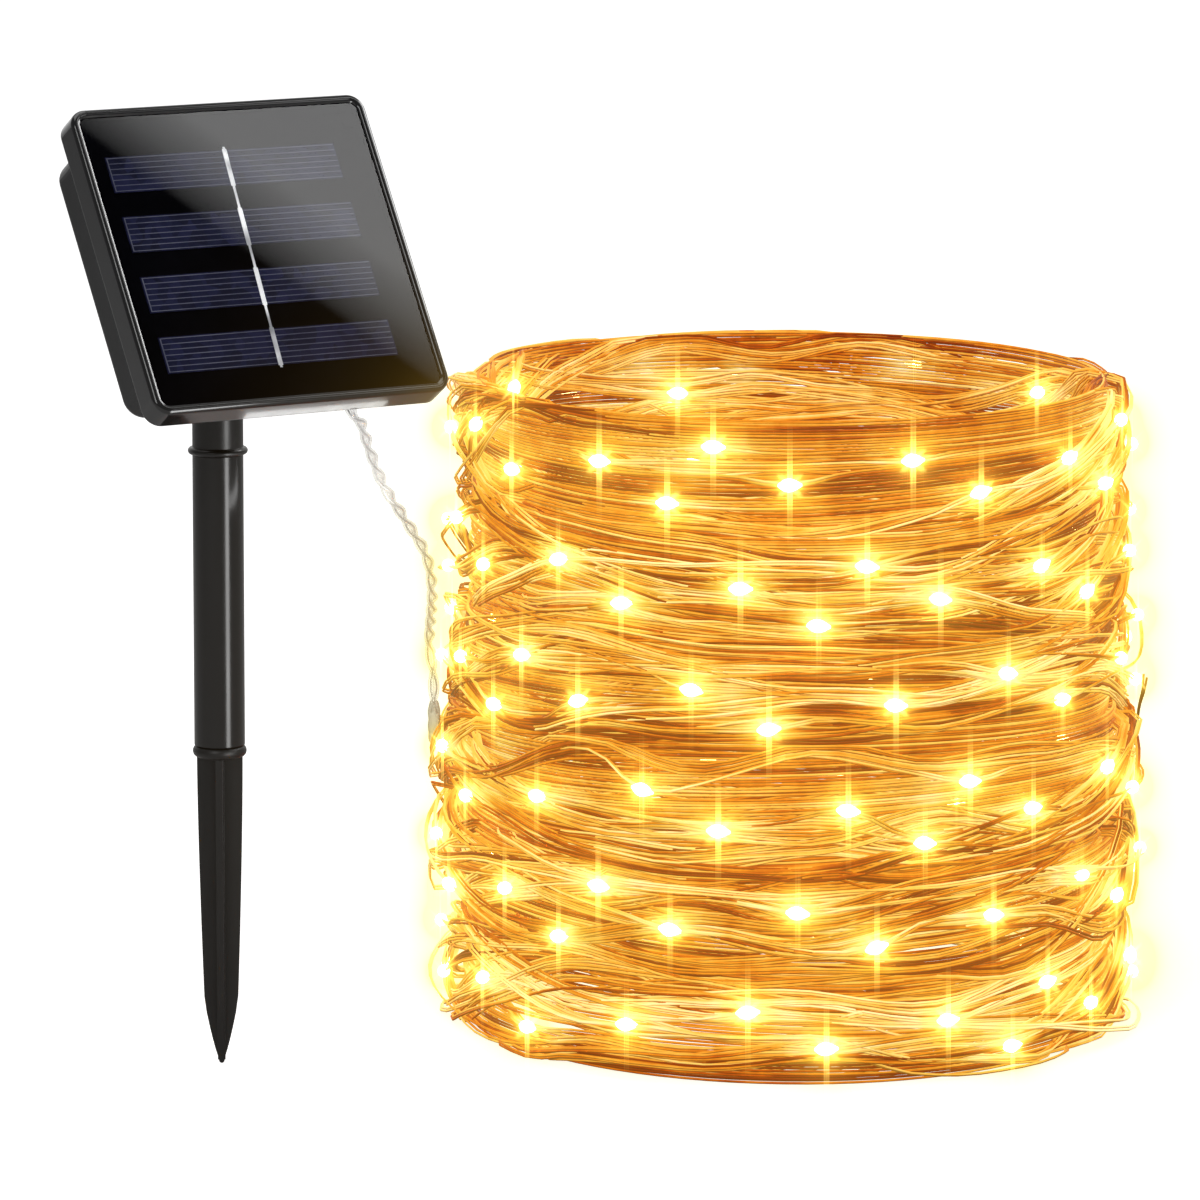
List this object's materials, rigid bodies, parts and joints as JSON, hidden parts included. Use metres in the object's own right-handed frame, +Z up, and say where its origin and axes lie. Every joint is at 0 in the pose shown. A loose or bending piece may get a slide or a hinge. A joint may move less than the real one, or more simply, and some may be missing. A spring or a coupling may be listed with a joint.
{
  "type": "solar string lights",
  "caption": "Tilting square solar panel head on a ground stake, joined by a clear lead to a tall coil of fine copper wire with small warm-white LEDs.",
  "frame": {"origin": "tip of the ground spike, on the stake's axis", "axes": "+Z up the stake, the panel faces -Y and leans back about X, the coil stands to the +X side"},
  "size_m": [0.3658, 0.2342, 0.3061],
  "materials": {
    "gloss_black": "glossy black moulded plastic",
    "satin_black": "satin black moulded plastic",
    "cover_clear": "clear glossy cover",
    "cell_blue": "dark blue silicon",
    "silver_print": "printed silver lines",
    "ribbon_silver": "tinned ribbon",
    "backing_black": "black board",
    "seal_rubber": "soft black rubber",
    "screw_steel": "zinc-plated steel",
    "battery_wrap": "green shrink wrap",
    "board_green": "green solder mask",
    "component_black": "moulded black",
    "wire_red": "red insulation",
    "wire_black": "black insulation",
    "lead_clear": "clear soft insulation over two tinned cores",
    "wire_bundle": "loose bundle of fine enamelled copper wire",
    "copper_wire": "enamelled copper wire",
    "led_resin": "clear resin drop, lit warm white",
    "led_chip": "yellow phosphor, lit warm white"
  },
  "bodies": {
    "panel_head": {"front_frame": "gloss_black", "panel_cover": "cover_clear", "cell_ribbon": "ribbon_silver", "cell_gridlines": "silver_print", "solar_cells": "cell_blue", "cell_backing": "backing_black", "housing_seal": "seal_rubber", "rear_housing": "satin_black", "housing_screws": "screw_steel", "battery": "battery_wrap", "battery_holder": "component_black", "battery_contacts": "screw_steel", "circuit_board": "board_green", "board_components": "component_black", "board_screws": "screw_steel", "power_switch": "component_black", "mode_switch": "component_black", "positive_wires": "wire_red", "negative_wires": "wire_black", "lead_tails": "lead_clear", "cable_gland": "seal_rubber", "hinge_bolt": "screw_steel", "hinge_washer": "screw_steel", "lead_cable": "lead_clear"},
    "knuckle": {"hinge_knuckle": "satin_black"},
    "tube": {"stake_tube": "satin_black"},
    "spike": {"ground_spike": "satin_black"},
    "knob": {"hinge_knob": "satin_black"},
    "power": {"power_button": "seal_rubber"},
    "mode": {"mode_button": "seal_rubber"},
    "coil": {"lead_splice": "lead_clear", "wire_hank_1": "wire_bundle", "wire_hank_2": "wire_bundle", "wire_hank_3": "wire_bundle", "wire_hank_4": "wire_bundle", "wire_hank_5": "wire_bundle", "wire_hank_6": "wire_bundle", "led_beads": "led_resin", "led_chips": "led_chip", "string_end": "copper_wire"}
  },
  "joints": [
    {"name": "head_tilt", "type": "hinge", "parent": "panel_head", "child": "knuckle", "pos_m": [0, 0, 0.2444], "axis": [1, 0, 0], "range_deg": [-25, 57]},
    {"name": "stake_swivel", "type": "hinge", "parent": "knuckle", "child": "tube", "pos_m": [0, 0, 0.181], "axis": [0, 0, 1], "continuous": true},
    {"name": "spike_pull", "type": "slide", "parent": "tube", "child": "spike", "axis": [0, 0, -1], "range_m": [0, 0.036]},
    {"name": "knob_turn", "type": "hinge", "parent": "panel_head", "child": "knob", "pos_m": [0.013, 0, 0.2444], "axis": [1, 0, 0], "continuous": true},
    {"name": "power_press", "type": "slide", "parent": "panel_head", "child": "power", "axis": [0, -0.8387, 0.5446], "range_m": [0, 0.001], "stiffness_N_per_m": 300, "springref_m": -0.0005},
    {"name": "mode_press", "type": "slide", "parent": "panel_head", "child": "mode", "axis": [0, -0.8387, 0.5446], "range_m": [0, 0.001], "stiffness_N_per_m": 300, "springref_m": -0.0005},
    {"name": "coil_shift", "type": "slide", "parent": "panel_head", "child": "coil", "axis": [1, 0, 0], "range_m": [0, 0.03], "deforming": ["lead_cable"]}
  ]
}
